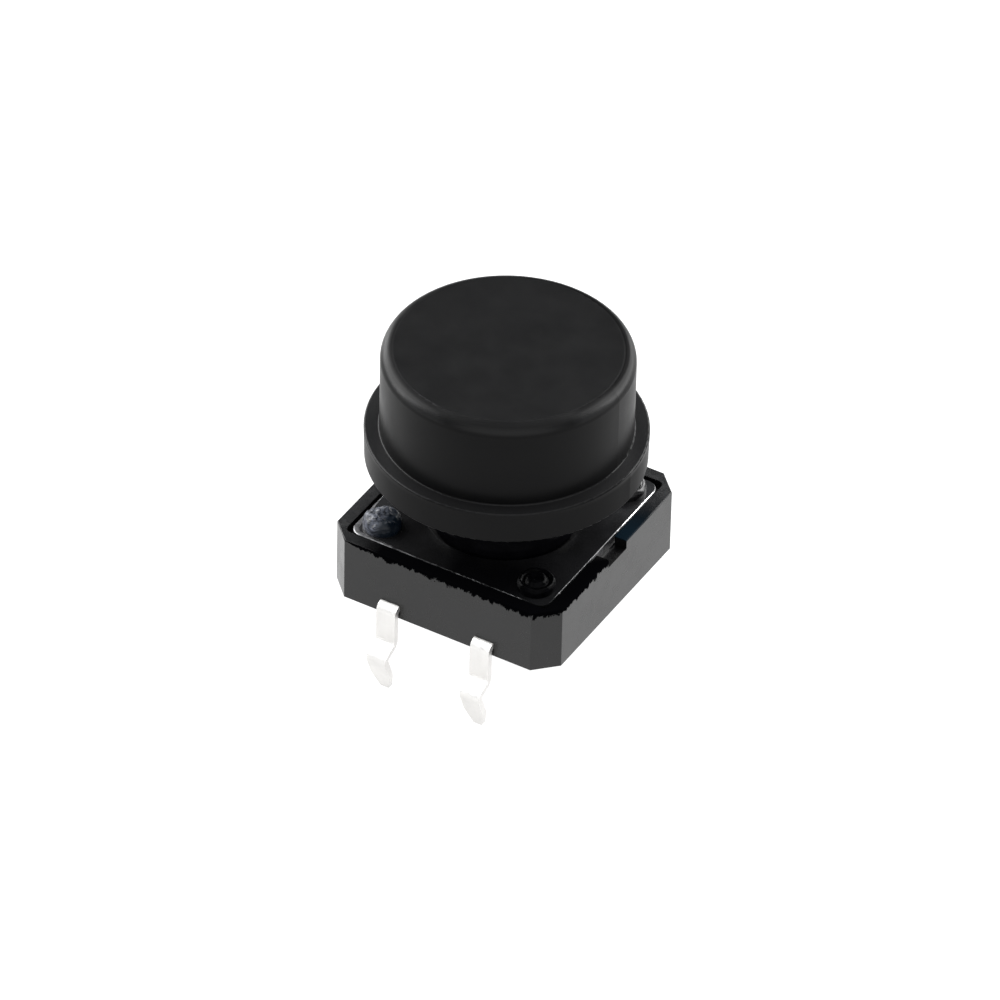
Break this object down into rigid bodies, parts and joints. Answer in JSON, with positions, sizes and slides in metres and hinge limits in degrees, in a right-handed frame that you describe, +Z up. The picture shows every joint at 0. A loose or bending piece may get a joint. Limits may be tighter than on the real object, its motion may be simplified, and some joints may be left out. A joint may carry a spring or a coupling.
{
  "type": "tactile push button switch",
  "caption": "Square through-hole tactile switch with a staked metal cover and a stepped round keycap that presses down a short way and springs back.",
  "frame": {"origin": "centre of the body's underside, where it sits on the circuit board", "axes": "+Z up through the keycap, against the press; the terminal rows lie along X and leave the -Y and +Y faces"},
  "size_m": [0.013, 0.0144, 0.0166],
  "materials": {
    "base_plastic": "moulded black resin with a dull sheen",
    "cover_metal": "glossy black coating on sheet steel, bright along the edges",
    "contact_metal": "bright tin plating",
    "dome_steel": "rolled stainless spring steel",
    "plunger_plastic": "moulded black resin",
    "cap_plastic": "smooth charcoal black moulding"
  },
  "bodies": {
    "housing": {"base": "base_plastic", "cover_plate": "cover_metal", "outer_contact": "contact_metal", "centre_contact": "contact_metal", "snap_dome": "dome_steel"},
    "button": {"plunger": "plunger_plastic", "keycap": "cap_plastic"}
  },
  "joints": [
    {"name": "button_press", "type": "slide", "parent": "housing", "child": "button", "axis": [0, 0, -1], "range_m": [0, 0.0003], "stiffness_N_per_m": 4300, "deforming": ["snap_dome"]}
  ]
}
